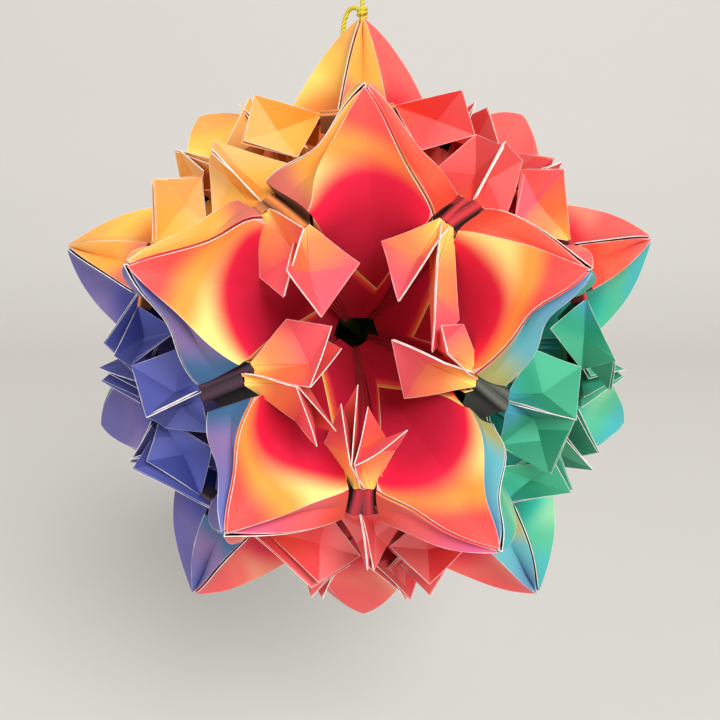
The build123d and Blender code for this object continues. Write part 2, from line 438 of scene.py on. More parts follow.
def petalNet(end):
    tip = Vector((end * halfEdge, 0, edgeRadius))
    out = (tip - flowerAxis * tip.dot(flowerAxis)).normalized()
    side = flowerAxis.cross(out)
    corner = out * petal["cornerOut"] - side * petal["cornerShift"] + flowerAxis * petal["cornerHeight"]
    near = Vector((end * troughEnd, waist["halfLength"], waist["radius"]))
    lip = tip.lerp(near, 0.5) + Vector((0, 0, petal["lipRise"]))
    far = near - side * (2 * near.dot(side))
    farLip = lip - side * (2 * lip.dot(side))
    if end > 0:
        near, far = far, near
        lip, farLip = farLip, lip
    edge = near.lerp(corner, 0.5)
    farEdge = far.lerp(corner, 0.5)
    bow = side.cross(corner - tip).normalized()
    middle = tip.lerp(corner, 0.5) + bow * petal["cup"]
    rim = tip + corner + near + far + (lip + farLip + edge + farEdge) * 2
    heart = (middle * 16 - rim) * 0.25
    return ((tip, farLip, far), (lip, heart, farEdge), (near, edge, corner))


ownNet = petalNet(-1)
tabNet = petalNet(1)
lipLength = (ownNet[0][0] - ownNet[2][0]).length


def patchPoint(net, a, b, shift):
    rows = ((1 - a) ** 2, 2 * a * (1 - a), a * a)
    columns = ((1 - b) ** 2, 2 * b * (1 - b), b * b)
    rowSlopes = (2 * (a - 1), 2 - 4 * a, 2 * a)
    columnSlopes = (2 * (b - 1), 2 - 4 * b, 2 * b)
    point, along, across = Vector(), Vector(), Vector()
    for i in range(3):
        for j in range(3):
            point += net[i][j] * (rows[i] * columns[j])
            along += net[i][j] * (rowSlopes[i] * columns[j])
            across += net[i][j] * (rows[i] * columnSlopes[j])
    return point + along.cross(across).normalized() * (shift + petal["crease"] * abs(a - b))


def ownPetal(a, b):  # free edge held back from the neighbour's lip, more so at the tip
    gap = ball["edgeGap"] + (ball["tipGap"] - ball["edgeGap"]) * max(0, 1 - ball["tipFade"] * b) ** 2
    start = gap / lipLength
    return patchPoint(ownNet, start + (1 - start) * a, b, ball["layerShift"])


def tabSheet(a, b):
    start = (ball["tipGap"] + (petal["tabGap"] - ball["tipGap"]) * a) / lipLength
    return patchPoint(tabNet, a * petal["tabReach"], start + (1 - start) * b, -ball["layerShift"])


# Funnel that narrows each flower down to its hole, with pleats below each waist
funnel = {
    "height": 17.0,
    "sweep": 37.0,
    "ownTurn": 1.4,  # share of the sweep that each skirt turns back by
    "farTurn": 0.6,
    "hang": 9.0,
    "knee": 0.35,
    "hole": 3.0,
    "holeSpread": (0.7, 1.25),
    "cuts": 10,
    "pleats": 8,
    "pleatSweep": 9.0,
    "pleatFold": 0.7,
    "pleatFade": 0.6,
    "pleatDrop": 4.0,  # below the strips
    "frontPleatDrop": 1.5,
    "pleatKnee": 0.3,
    "pleatHang": 4.0,
}
frontHole = {3: 2.9, 10: 3.9, 13: 2.6, 14: 4.2, 15: 2.9}  # sides of the front flower's uneven hole, by sheet
backHole = 0.05  # nearly shut
ownTip = ownNet[0][0]
tipOut = (ownTip - flowerAxis * ownTip.dot(flowerAxis)).normalized()
tipSide = flowerAxis.cross(tipOut)


def skirt(top, angle, down, hole):  # from a petal's inner edge down to the hole
    turned = math.radians(angle)
    floor = (tipOut + tipSide * math.tan(turned)) * hole + flowerAxis * funnel["height"]
    knee = top.lerp(floor, funnel["knee"]) - flowerAxis * funnel["hang"] * funnel["knee"]
    return top * (1 - down) ** 2 + knee * (2 * down * (1 - down)) + floor * down ** 2


# Trough between two lips, pleats and strips of the waist
trough = {"depth": 2.6, "shares": (0.35, 1.0, 0.85, 0.0), "bow": 0.35, "bowFade": 3, "cuts": 4}


def troughShare(s):
    total = 0
    for k, share in enumerate(trough["shares"]):
        weight = 1
        for m in range(4):
            if m != k:
                weight *= (s * 3 - m) / (k - m)
        total += share * weight
    return total


def troughSheet(s, c):
    near = ownPetal(s, 0)
    far = opposite(tabSheet(0, s))
    middle = near.lerp(far, 0.5)
    valley = Vector((middle.x, 0, middle.z - trough["depth"] * troughShare(s)))
    lip = near if c < 0.5 else far
    share = abs(2 * c - 1)
    bow = trough["bow"] * math.sin(math.pi * share) * min(1, trough["bowFade"] * (1 - s))
    return valley.lerp(lip, share) + Vector((0, 0, bow))


# Standing flaps. Changes are millimetres, out from the flower's middle and to the flap's own side,
# for the strip end, the side corner, the tip and the spine. Clockwise flap first.
# Facets are spine, side, side of the tip, spine of the tip, dart and back.
flap = {
    "side": 11.3,
    "sideShares": (0.47, 0.40, -0.71),
    "tipShares": (0.04, 1.32, -0.38),
    "spineShares": (0.01, 0.92, 0.40),
    "slitDepth": 3.0,  # dart that runs from the strip to the middle of the flap
    "slitShares": (0.24, 0.76),
    "dentDepth": 3.4,
    "facetTints": (-0.06, 0.08, 0.2, 0.26, 0.0, 0.0),
    # painted shade of the first five facets, darkest in the dart
    "paintedFacetShades": (0.4, 0.0, 0.0, 0.15, 0.9),
    "paintedBackShade": 0.5,  # painted shade of the back layer, growing towards the tip
    "tintSwing": 0.15,
    "printReach": 1.05,
    "layerGap": 0.16,
    "rearPull": 0.03,
    "rearSwing": ((-1, 1), (-2, 1)),
    "tipSpread": 0.2,
    "gapSwing": ((0.5, 1.4), (0.5, 1.2)),  # at the tip and at the spine
    "wave": 0.35,
    "waveScale": 0.11,
    "wavePhase": 50,
    "cuts": 5,
    "spread": (0.4, 1.2, 3.0, 2.0),
}
frontFlaps = {
    (3, -1): ((-2.5, 1.5), (-3.5, -0.5), (-0.5, -6.0), (-0.5, -3.5)),
    (3, 1): ((3.5, -0.5), (4.5, 0.5), (5.5, 3.5), (3.0, -3.0)),
    (10, -1): ((0.0, -1.0), (-1.5, 4.0), (-2.0, 8.0), (1.0, 1.5)),
    (10, 1): ((0.0, -1.0), (1.0, -0.5), (1.0, -4.0), (0.0, -1.0)),
    (13, -1): ((0.0, -0.5), (-4.0, -0.5), (-2.5, -4.0), (-2.0, -0.5)),
    (13, 1): ((0.0, -1.0), (2.0, 0.0), (4.5, 3.0), (-2.0, 1.5)),
    (14, -1): ((-1.0, -0.5), (-2.5, -0.5), (-3.0, 0.5), (-5.5, -5.0)),
    (14, 1): ((1.0, -1.0), (1.5, 2.0), (5.0, 10.5), (-3.5, 3.5)),
    (15, -1): ((0.0, -1.0), (3.0, -1.0), (3.0, 0.5), (3.0, 1.5)),
    (15, 1): ((0.0, -0.5), (4.0, -2.0), (7.0, 4.5), (3.0, -1.5)),
}
# Front flaps whose back layer stands off, by sheet and end
rearTips = {
    (14, -1): (-0.5, -3.5),
    (14, 1): (-3.5, -1.0),
    (15, -1): (-3.0, -2.5),
    (15, 1): (-3.5, -6.0),
}
# Waists of the front flower, by sheet: out of the ball, then towards the flower
frontPushes = {3: (2.06, 0.25), 10: (1.16, -0.56), 13: (-3.4, 0.25), 14: (-2.3, 1.56), 15: (2.25, -1.75)}

# Flaps of the flowers beside the front one, by sheet, flower and end: root, side corner, tip and spine,
# millimetres to the right and up in the front view
sideFlaps = {
    (2, 0, -1): ((-4.0, 1.0), (-3.0, 3.0), (-5.0, 0.0), (-4.5, 0.0)),
    (2, 0, 1): ((-3.5, 1.0), (0.0, 0.0), (-2.0, 1.5), (-5.0, -1.0)),
    (3, 0, -1): ((0.0, 0.0), (-3.5, 4.0), (-2.0, 3.5), (-2.5, 0.0)),
    (3, 0, 1): ((0.0, 0.0), (-3.5, 3.5), (-5.5, 3.0), (-1.0, 0.5)),
    (5, 0, -1): ((0.0, 0.0), (0.0, 0.0), (-1.5, -0.5), (-1.5, 0.5)),
    (5, 0, 1): ((-1.0, 1.0), (-2.0, 4.0), (-4.5, -1.0), (-1.0, 0.5)),
    (2, 2, -1): ((2.0, 2.0), (0.0, 0.0), (3.5, 0.5), (3.0, 0.5)),
    (2, 2, 1): ((2.0, 2.5), (1.5, 4.5), (2.0, 1.5), (3.5, 1.0)),
    (10, 2, -1): ((1.0, -1.5), (2.5, 2.0), (-1.0, 4.0), (-0.5, 1.0)),
    (10, 2, 1): ((1.0, -0.5), (3.0, 2.5), (3.5, 3.0), (-1.0, 2.5)),
    (12, 2, -1): ((0.5, 1.5), (1.0, 3.0), (-0.5, 4.0), (0.0, 2.5)),
    (12, 2, 1): ((0.0, 0.0), (0.0, 0.0), (0.0, 2.5), (-2.0, 3.5)),
    (12, 7, -1): ((0.0, 0.0), (0.0, 0.0), (4.0, -6.0), (-1.5, -5.0)),
    (12, 7, 1): ((1.0, -1.5), (3.0, 0.0), (0.5, 3.0), (-0.5, -4.5)),
    (13, 7, -1): ((-2.5, -2.0), (1.5, 0.5), (0.5, 2.0), (-2.0, -2.0)),
    (13, 7, 1): ((-2.0, -1.5), (0.0, -4.0), (-1.0, -9.0), (-2.5, -2.5)),
    (25, 7, -1): ((0.0, 0.0), (-0.5, -5.0), (-1.5, -8.0), (0.0, -1.0)),
    (5, 8, -1): ((-0.5, -3.0), (-2.0, 0.0), (-3.0, 3.5), (2.0, -4.0)),
    (14, 8, -1): ((-1.0, 0.0), (-3.0, 0.0), (0.0, -1.0), (1.5, -1.5)),
    (14, 8, 1): ((-0.5, -1.0), (-3.5, 0.0), (-5.0, 5.5), (1.5, -2.5)),
    (26, 8, -1): ((0.0, 0.0), (0.0, 0.0), (-2.0, 1.5), (-4.0, 5.0)),
    (26, 8, 1): ((-2.5, 2.5), (-2.5, -0.5), (-1.5, 4.5), (-1.5, 6.5)),
    (15, 10, -1): ((0.0, 0.0), (0.5, -3.0), (0.5, 0.5), (3.5, 0.5)),
    (15, 10, 1): ((0.0, 0.0), (3.5, -3.5), (4.0, 1.5), (0.5, 0.0)),
    (25, 10, -1): ((0.0, 0.0), (0.0, 0.0), (0.0, -0.5), (-1.5, -2.0)),
    (25, 10, 1): ((0.0, -2.5), (1.0, -3.0), (0.5, 1.5), (-4.0, -0.5)),
    (26, 10, -1): ((3.0, -0.5), (4.0, -2.5), (6.0, 0.5), (5.5, 0.0)),
    (26, 10, 1): ((0.0, 0.0), (0.0, 0.0), (2.5, -1.0), (7.0, -0.5)),
}


def sideShifts(number, turn, end):
    first, second, seat = sheets[number - 1]
    leans = sideFlaps.get((number, second if turn > 0 else first, end), [(0, 0)] * 4)
    shifts = [seat.transposed() @ inView(*lean) for lean in leans]
    return shifts if turn > 0 else [opposite(shift) for shift in shifts]


def flapChanges(number, turn, end, dice):
    loose = [(dice.uniform(-s, s), dice.uniform(-s, s)) for s in flap["spread"]]
    first, second = sheets[number - 1][:2]
    if (second if turn > 0 else first) == frontNumber:
        return frontFlaps[(number, end)]
    return loose


def flapPoints(end, changes, shifts):
    outer = Vector((end * stripOuter, waist["halfLength"], stripRadius))
    inner = Vector((end * stripInner, waist["halfLength"], stripRadius))
    moves = []
    for (out, side), shift in zip(changes, shifts):
        moves.append(flowerOut * out + Vector((end * side, 0, 0)) + shift)

    def corner(start, shares):
        return start + Vector((end * shares[0], shares[1], shares[2])) * flap["side"]

    side = corner(outer, flap["sideShares"]) + moves[1]
    tip = corner(outer, flap["tipShares"]) + moves[2]
    spine = corner(inner, flap["spineShares"]) + moves[3]
    dent = side.lerp(spine, 0.5)
    return outer + moves[0], inner + moves[0], side, tip, spine, dent


def segmentDistance(point, start, end):
    run = end - start
    share = max(0, min(1, (point - start).dot(run) / run.length_squared))
    return (point - start - run * share).length


def flapMesh(end, points, slotIndex, tint, dice, rearTip):
    outer, inner, side, tip, spine = points[:5]
    facets = [(1, 4, 5), (0, 5, 2), (2, 5, 3), (5, 4, 3)]  # corners as numbered in points
    dart, back = 4, 5
    behind = (tip - outer).cross(spine - side).normalized()
    if behind.dot(flowerAxis) > 0:
        behind.negate()
    bm = bmesh.new()
    front = [bm.verts.new(p) for p in points]
    front[5].co += behind * flap["dentDepth"]
    mouth = [bm.verts.new(outer.lerp(inner, share)) for share in flap["slitShares"]]
    slit = bm.verts.new(outer.lerp(inner, 0.5) + behind * flap["slitDepth"])
    layer = flap["layerGap"]
    tipGap, spineGap = [flap["tipSpread"] * dice.uniform(*swing) for swing in flap["gapSwing"]]
    rear = []
    for vert, gap in zip(front, (0, layer, 0, tipGap, spineGap, layer)):
        if gap:
            vert = bm.verts.new(vert.co.lerp(front[5].co, flap["rearPull"]) + behind * gap)
        rear.append(vert)
    rear[3].co += flowerOut * rearTip[0] + Vector((end * rearTip[1], 0, 0))
    for kind, numbers in enumerate(facets):
        bm.faces.new([front[k] for k in numbers]).material_index = kind
        bm.faces.new([rear[k] for k in reversed(numbers)]).material_index = back
    ring = [front[0], mouth[0], slit, mouth[1], front[1]]
    for kind, first, second in zip((1, dart, dart, 0), ring, ring[1:]):
        bm.faces.new((first, second, front[5])).material_index = kind
    bm.faces.new((rear[0], rear[5], rear[1])).material_index = back
    bmesh.ops.subdivide_edges(bm, edges=bm.edges[:], cuts=flap["cuts"], use_grid_fill=True)
    sheetMap = bm.loops.layers.uv.new("sheet")
    wearMap = bm.loops.layers.uv.new("wear")
    outline = ((outer, side), (side, tip), (tip, spine), (spine, inner))
    reach = (tip - outer).length * flap["printReach"]
    phase = Vector((dice.uniform(0, flap["wavePhase"]), 0, 0))
    for face in bm.faces:
        kind = face.material_index
        face.material_index = slotIndex
        face.smooth = True
        for loop in face.loops:
            place = loop.vert.co
            gone = min(segmentDistance(place, p, q) for p, q in outline)
            along = (place - outer).length / reach
            # painted shade: set for each facet, growing towards the tip on the back layer
            shade = flap["paintedBackShade"] * along if kind == back else flap["paintedFacetShades"][kind]
            loop[sheetMap].uv = (along + flap["facetTints"][kind] + tint * flap["tintSwing"], shade)
            loop[wearMap].uv = (min(gone / paperLook["wornReach"], 1), 0)
    for vert in bm.verts:
        vert.co += behind * noise.noise(vert.co * flap["waveScale"] + phase) * flap["wave"]
    return bm


halfSpin = Matrix.Rotation(math.pi, 3, "Z")


def joinFlap(bm, small, turn):
    if turn < 0:
        bmesh.ops.rotate(small, verts=small.verts, cent=(0, 0, 0), matrix=halfSpin)
    bits = bpy.data.meshes.new("flapBits")
    small.to_mesh(bits)
    small.free()
    bm.from_mesh(bits)
    bpy.data.meshes.remove(bits)


# extra is the shift of a petal's heart, or 1 on a raised strip. Columns up to leanTo follow the lips.
def foldedGrid(bm, maps, columns, rows, turn, place, slotIndex, extra=0, edges=(), leanTo=2):
    sheetMap, wearMap, leanMap = maps
    reach = paperLook["wornReach"]
    made = bmesh.ops.create_grid(bm, x_segments=columns, y_segments=rows, size=0.5)
    shares = {vert: (vert.co.x + 0.5, vert.co.y + 0.5) for vert in made["verts"]}
    gone = {}
    for vert, (a, b) in shares.items():
        vert.co = place(a, b)
        vert[leanMap] = int(a < leanTo)
        ends = {"left": (0, b), "low": (a, 0), "high": (a, 1)}
        gone[vert] = min([(vert.co - place(*ends[name])).length for name in edges] + [reach]) / reach
    for face in {face for vert in made["verts"] for face in vert.link_faces}:
        face.material_index = slotIndex
        face.smooth = True
        for loop in face.loops:
            loop[sheetMap].uv = shares[loop.vert]
            loop[wearMap].uv = (gone[loop.vert], extra)
    if turn < 0:
        bmesh.ops.rotate(bm, verts=made["verts"], cent=(0, 0, 0), matrix=halfSpin)


# Spikes that lean, by the three flowers round them: millimetres to the right and up in the front view
spikeLeans = {
    (0, 2, 3): (0.5, 0.5),
    (2, 3, 7): (-1.5, -1.5),
    (3, 7, 10): (-1.5, -1.0),
    (3, 8, 10): (1.4, 1.4),
    (0, 3, 8): (0.5, -0.5),
    (0, 1, 2): (0.0, 1.3),
    (2, 5, 7): (-1.9, 0.6),
    (7, 9, 10): (-1.9, 0.0),
    (8, 10, 11): (3.0, 0.0),
    (0, 4, 8): (0.8, -1.0),
}

# Lips that lean in the same view, by sheet, flower and end: at the waist, then half-way to the spike
lipLeans = {
    (3, 3, -1): ((2.5, -1.0), (-1.5, 0.5)),
    (3, 3, 1): ((-1.0, 3.5), (-0.5, 0.5)),
    (10, 3, -1): ((-1.0, 1.0), (-0.5, 0.5)),
    (10, 3, 1): ((1.0, -0.5), (0.5, -0.5)),
    (13, 3, -1): ((0.5, -1.0), (-0.5, -1.0)),
    (13, 3, 1): ((-1.0, -2.0), (-1.0, 0.5)),
    (14, 3, -1): ((-0.5, -1.0), (0.0, -0.5)),
    (15, 3, -1): ((1.5, 0.0), (1.0, 0.0)),
    (15, 3, 1): ((-1.5, -0.5), (-0.5, -1.0)),
    (3, 0, -1): ((0.0, 0.5), (1.0, -1.0)),
    (3, 0, 1): ((-2.0, 0.5), (2.0, -2.5)),
    (10, 2, -1): ((0.5, -2.5), (0.0, -2.5)),
    (13, 7, -1): ((-3.5, -1.0), (-3.5, 0.5)),
    (13, 7, 1): ((-3.5, -1.5), (-3.0, -1.0)),
    (14, 8, -1): ((0.5, 0.5), (2.5, 0.5)),
    (14, 8, 1): ((0.5, -2.0), (2.5, 0.5)),
}

# Small unevenness of a hand-made ball, as pushes in millimetres that fade with distance
unevenness = {
    "waistOut": 0.8,
    "waistTowards": 0.5,
    "waistWidth": 9.0,
    "spikeWidth": 12.0,
    "lipWidth": 6.5,
    "holeLean": (-1.4, 1.4),  # the front hole sits to one side
    "holeWidth": 8.0,
    "reach": 3,  # widths past which a push is nothing
}


def handPushes():
    dice = random.Random(ball["seed"])
    mostOut, mostTowards = unevenness["waistOut"], unevenness["waistTowards"]
    found = []
    for number, (first, second, seat) in enumerate(sheets, 1):
        for turn in (1, -1):
            out, towards = dice.uniform(-mostOut, mostOut), dice.uniform(-mostTowards, mostTowards)
            if (second if turn > 0 else first) == frontNumber:
                out, towards = frontPushes[number]
            middle = seat @ Vector((0, turn * waist["halfLength"], waist["radius"]))
            found.append((middle, seat @ Vector((0, turn * towards, out)), unevenness["waistWidth"]))
    for around, lean in spikeLeans.items():
        spike = sum((flowers[k] for k in around), Vector()).normalized() * ball["spikeRadius"]
        found.append((spike, inView(*lean), unevenness["spikeWidth"]))
    hole = frontAxis * funnel["height"]
    found.append((hole, inView(*unevenness["holeLean"]), unevenness["holeWidth"]))
    leans = []
    for (number, flower, end), places in lipLeans.items():
        second, seat = sheets[number - 1][1:]
        for lean, share in zip(places, (1, 0.5)):
            lip = ownPetal(share, 0) if end < 0 else tabSheet(0, share)
            middle = seat @ (lip if flower == second else opposite(lip))
            leans.append((middle, inView(*lean), unevenness["lipWidth"]))
    return found, leans


pushes, lipPushes = handPushes()


def uneven(point, lips):
    moved = point.copy()
    for middle, push, width in pushes + lipPushes if lips else pushes:
        gap = (point - middle).length
        if gap < unevenness["reach"] * width:
            moved += push * math.exp(-(gap / width) ** 2)
    return moved


oddFlaps = {(12, 2): 3}  # sheet and flower whose flaps show another flower's colours
heartShifts = {3: 0.09, 10: -0.02, 13: 0.05, 14: -0.04, 15: 0.01}  # hearts of the front petals, by sheet
paperSlots = {"trough": 6, "strip": 7, "edge": 8, "inked": (2, 3, 7)}  # petals, funnels and flaps are 0 to 5


def thickPaper(mesh, name):  # gives a flat sheet its thickness, white cut edges and crisp folds
    raw = bpy.data.objects.new("flatSheet", mesh)
    bpy.context.scene.collection.objects.link(raw)
    wall = raw.modifiers.new("thickness", "SOLIDIFY")
    wall.thickness = ball["paper"] * mm
    wall.offset = 0
    wall.material_offset_rim = paperSlots["edge"]
    solid = bpy.data.meshes.new_from_object(raw.evaluated_get(bpy.context.evaluated_depsgraph_get()))
    bpy.data.objects.remove(raw)
    bpy.data.meshes.remove(mesh)
    bm = bmesh.new()
    bm.from_mesh(solid)
    for edge in bm.edges:
        edge.smooth = edge.calc_face_angle(math.pi) < math.radians(ball["smoothAngle"])
        around = [face.material_index for face in edge.link_faces]
        inked = [slot for slot in around if slot in paperSlots["inked"]]
        for face in edge.link_faces:  # inside the ball the cut edges are inked over
            if inked and face.material_index == paperSlots["edge"]:
                face.material_index = inked[0]
    bm.to_mesh(solid)
    bm.free()
    solid.name = name
    return solid


def paperSheet(number, first, second, seat):
    dice = random.Random(ball["seed"] * ball["seedStep"] + number)
    bm = bmesh.new()
    uvMaps = bm.loops.layers.uv
    maps = uvMaps.new("sheet"), uvMaps.new("wear"), bm.verts.layers.int.new("leans")
    points = {}
    for turn in (1, -1):
        for end in (-1, 1):
            changes = flapChanges(number, turn, end, dice)
            points[(turn, end)] = flapPoints(end, changes, sideShifts(number, turn, end))
    count = petal["cuts"]
    drop = Vector((0, 0, waist["grooveDrop"]))
    for turn in (1, -1):
        tint = dice.uniform(-1, 1)
        flower = second if turn > 0 else first
        petalSlot, funnelSlot, flapSlot = (0, 2, 4) if turn > 0 else (1, 3, 5)
        usual = funnel["hole"] * dice.uniform(*funnel["holeSpread"])
        hole = {frontNumber: frontHole.get(number), backNumber: backHole}.get(flower, usual)
        frontOuter, frontInner = points[(turn, -1)][:2]
        rearOuter, rearInner = (opposite(p) for p in points[(-turn, 1)][:2])
        frontMiddle = (frontInner + points[(turn, 1)][1]) / 2 - drop
        rearMiddle = (rearInner + opposite(points[(-turn, -1)][1])) / 2 - drop
        frontFoot, rearFoot = frontOuter.copy(), rearOuter.copy()
        frontFoot.z = rearFoot.z = pleatRadius

        def strip(a, b):
            crown = Vector((0, 0, waist["stripCrown"] * math.sin(math.pi * a)))
            return frontOuter.lerp(frontInner, a).lerp(rearOuter.lerp(rearInner, a), b) + crown

        def groove(a, b):
            return frontInner.lerp(frontMiddle, a).lerp(rearInner.lerp(rearMiddle, a), b)

        def pleatWall(a, b):
            return frontFoot.lerp(frontOuter, a).lerp(rearFoot.lerp(rearOuter, a), b)

        def troughFoot(b):
            return Vector((-troughEnd, waist["halfLength"] * (1 - 2 * b), pleatRadius))

        def pleatFloor(a, b):
            return troughFoot(b).lerp(frontFoot.lerp(rearFoot, b), a)

        def troughWall(a, b):
            return troughSheet(1, b).lerp(troughFoot(b), a)

        def ownSkirt(a, b):  # below the edge that runs to this sheet's own waist
            share = (1 + (count - 1) * a) / count
            return skirt(ownPetal(1, share), funnel["sweep"] * (1 - funnel["ownTurn"] * share), b, hole)

        def farSkirt(a, b):  # below the free edge that runs to the neighbour's waist
            share = (1 + (count - 1) * a) / count
            return skirt(ownPetal(share, 1), -funnel["sweep"] * (1 - funnel["farTurn"] * share), b, hole)

        def waistPleats(a, b):  # folds that show under the standing flaps
            spread = 2 * a - 1
            facing = 1 if round(a * funnel["pleats"]) % 2 else -1
            fold = funnel["pleatFold"] * facing * (1 - funnel["pleatFade"] * b)
            turned = math.radians(funnel["pleatSweep"] * spread)
            below = funnel["frontPleatDrop" if flower == frontNumber else "pleatDrop"]
            top = Vector((spread * troughEnd, waist["halfLength"], stripRadius - below))
            ring = flowerOut * math.cos(turned) + Vector((math.sin(turned), 0, 0))
            floor = ring * hole + flowerAxis * funnel["height"]
            knee = top.lerp(floor, funnel["pleatKnee"]) - flowerAxis * funnel["pleatHang"]
            return top * (1 - b) ** 2 + knee * (2 * b * (1 - b)) + floor * b ** 2 + flowerOut * fold

        heart = heartShifts[number] if flower == frontNumber else tint * petalPrint["heartSwing"]
        troughSlot, stripSlot = paperSlots["trough"], paperSlots["strip"]
        rows, walls, across = waist["cuts"], waist["wallCuts"], trough["cuts"] * 2
        foldedGrid(bm, maps, count, count, turn, ownPetal, petalSlot, heart, ("left", "low", "high"))
        foldedGrid(bm, maps, petal["tabCuts"], count, turn, tabSheet, petalSlot, heart, ("left",))
        foldedGrid(bm, maps, count - 1, funnel["cuts"], turn, ownSkirt, funnelSlot)
        foldedGrid(bm, maps, count - 1, funnel["cuts"], turn, farSkirt, funnelSlot)
        foldedGrid(bm, maps, funnel["pleats"], funnel["cuts"], turn, waistPleats, funnelSlot, leanTo=0)
        foldedGrid(bm, maps, count, across, turn, troughSheet, troughSlot, 0, ("low", "high"))
        # trough walls, pleat floors, pleat walls and the groove use the strip paper, so they take its
        # painted shadow
        foldedGrid(bm, maps, walls, across, turn, troughWall, stripSlot)
        foldedGrid(bm, maps, 1, rows, turn, pleatFloor, stripSlot, leanTo=0.5)
        foldedGrid(bm, maps, walls, rows, turn, pleatWall, stripSlot, leanTo=0)
        foldedGrid(bm, maps, walls, rows, turn, strip, stripSlot, 1, leanTo=0)
        foldedGrid(bm, maps, waist["grooveCuts"], rows, turn, groove, stripSlot, leanTo=0)
        for end in (-1, 1):
            if flower == frontNumber:
                rearTip = rearTips.get((number, end), (0, 0))
            else:
                rearTip = [dice.uniform(*swing) for swing in flap["rearSwing"]]
            small = flapMesh(end, points[(turn, end)], flapSlot, dice.uniform(-1, 1), dice, rearTip)
            joinFlap(bm, small, turn)
    bmesh.ops.remove_doubles(bm, verts=bm.verts, dist=ball["weld"])
    for vert in bm.verts:
        vert.co = uneven(seat @ vert.co, vert[maps[2]]) * mm
    bmesh.ops.recalc_face_normals(bm, faces=bm.faces)
    mesh = bpy.data.meshes.new("flatSheet")
    bm.to_mesh(mesh)
    bm.free()
    channel = second if first == frontNumber else first  # flower whose colours the trough takes
    inks = [paper[flower] for paper in (petalMaterials, funnelMaterials) for flower in (second, first)]
    inks += [flapMaterials[oddFlaps.get((number, flower), flower)] for flower in (second, first)]
    for material in (*inks, troughMaterials[channel], stripMaterials[channel], edgeMaterial):
        mesh.materials.append(material)
    solid = thickPaper(mesh, f"paperSheet{number:02d}")
    piece = bpy.data.objects.new(solid.name, solid)
    bpy.context.scene.collection.objects.link(piece)
    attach(piece, "root")
    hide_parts(f"unit_{number:02d}")
    return piece


paperPieces = [paperSheet(number, *sheet) for number, sheet in enumerate(sheets, 1)]
print("paper sheets", len(paperPieces), "faces", sum(len(piece.data.polygons) for piece in paperPieces))

# Yellow thread that hangs the ball
thread = {
    "diameter": 0.9,
    "colour": "#e8d81c",
    "shadow": "#a89a10",
    "plyScale": 700,
    "plyTurn": (0.5, 0.6, 0.0),
    "plyBend": 1.5,
    "plyDetail": 2.0,
    "plyPlaces": (0.1, 0.6),
    "plyStrength": 0.5,
    "plyDepth": 0.00015,
    "roughness": 0.55,
    "sheen": 0.3,
    "hang": (
        (0, 0, 59.26), (0, 0, 61.5), (0, 0, 66.4), (0, 0, 70.5), (0.1, 0, 72.4), (0.5, 0, 73.4),
        (3.2, 0, 77.0), (3.2, 0, 81.56), (1.69, 0, 85.4), (-1.69, 0, 85.4), (-3.2, 0, 81.56),
        (-3.2, 0, 77.0), (-0.9, 0, 74.0),
    ),
    "tail": (
        (-0.7, 0.2, 67.0), (-2.0, 0.9, 67.8), (-3.5, 1.9, 66.0),
        (-4.0, 2.3, 62.8), (-4.6, 2.65, 59.8), (-5.9, 3.4, 57.4),
    ),
    "knots": {"stop_knot": 59.26, "tip_knot": 66.4, "eye_knot": 73.4},
    "knotHalf": 1.0,
    "wraps": 2.2,
    "wrapPoints": 8,  # in each turn
    "wrapRadius": 0.78,
    "wrapRise": 1.5,
    "roundness": 4,
    "smoothness": 12,
}


def threadMaterial():
    material, tree = newMaterial("yellowThread")
    shader = tree.nodes["Principled BSDF"]
    space = wire(tree, "ShaderNodeTexCoord").outputs["Object"]
    turned = wire(tree, "ShaderNodeMapping", {0: space, "Rotation": thread["plyTurn"]}).outputs[0]
    waves = {"Vector": turned, "Scale": thread["plyScale"]}
    waves |= {"Distortion": thread["plyBend"], "Detail": thread["plyDetail"]}
    ply = wire(tree, "ShaderNodeTexWave", waves, bands_direction="Z").outputs[0]
    inks = paint(thread["shadow"]), paint(thread["colour"])
    twist = ramp(tree, ply, list(zip(thread["plyPlaces"], inks)))
    tree.links.new(twist, shader.inputs["Base Color"])
    relief = {"Height": ply, "Strength": thread["plyStrength"], "Distance": thread["plyDepth"]}
    tree.links.new(wire(tree, "ShaderNodeBump", relief).outputs[0], shader.inputs["Normal"])
    shader.inputs["Roughness"].default_value = thread["roughness"]
    shader.inputs["Sheen Weight"].default_value = thread["sheen"]
    return material


yellowThread = threadMaterial()


def threadCurve(name, points):
    curve = bpy.data.curves.new(name, "CURVE")
    curve.dimensions = "3D"
    curve.bevel_depth = thread["diameter"] / 2 * mm
    curve.bevel_resolution = thread["roundness"]
    curve.resolution_u = thread["smoothness"]
    curve.use_fill_caps = True
    line = curve.splines.new("NURBS")
    line.points.add(len(points) - 1)
    for point, place in zip(line.points, points):
        point.co = (*(Vector(place) * mm), 1)
    line.order_u = 3
    line.use_endpoint_u = True
    curve.materials.append(yellowThread)
    piece = bpy.data.objects.new(name, curve)
    bpy.context.scene.collection.objects.link(piece)
    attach(piece, "root")
    return piece


hangCord = threadCurve("hangCord", thread["hang"])
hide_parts("cord_stem", "cord_line", "cord_eye")
tailCord = threadCurve("tailCord", thread["tail"])
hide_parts("cord_tail")
for node, height in thread["knots"].items():
    steps = int(thread["wraps"] * thread["wrapPoints"])
    wraps = [(0, 0, height - thread["knotHalf"])]
    for k in range(steps + 1):
        angle = k / thread["wrapPoints"] * 2 * math.pi
        rise = (k / steps - 0.5) * thread["wrapRise"]
        x, y = thread["wrapRadius"] * math.cos(angle), thread["wrapRadius"] * math.sin(angle)
        wraps.append((x, y, height + rise))
    wraps.append((0, 0, height + thread["knotHalf"]))
    knot = threadCurve(node.replace("_k", "K"), wraps)
    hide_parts(node)

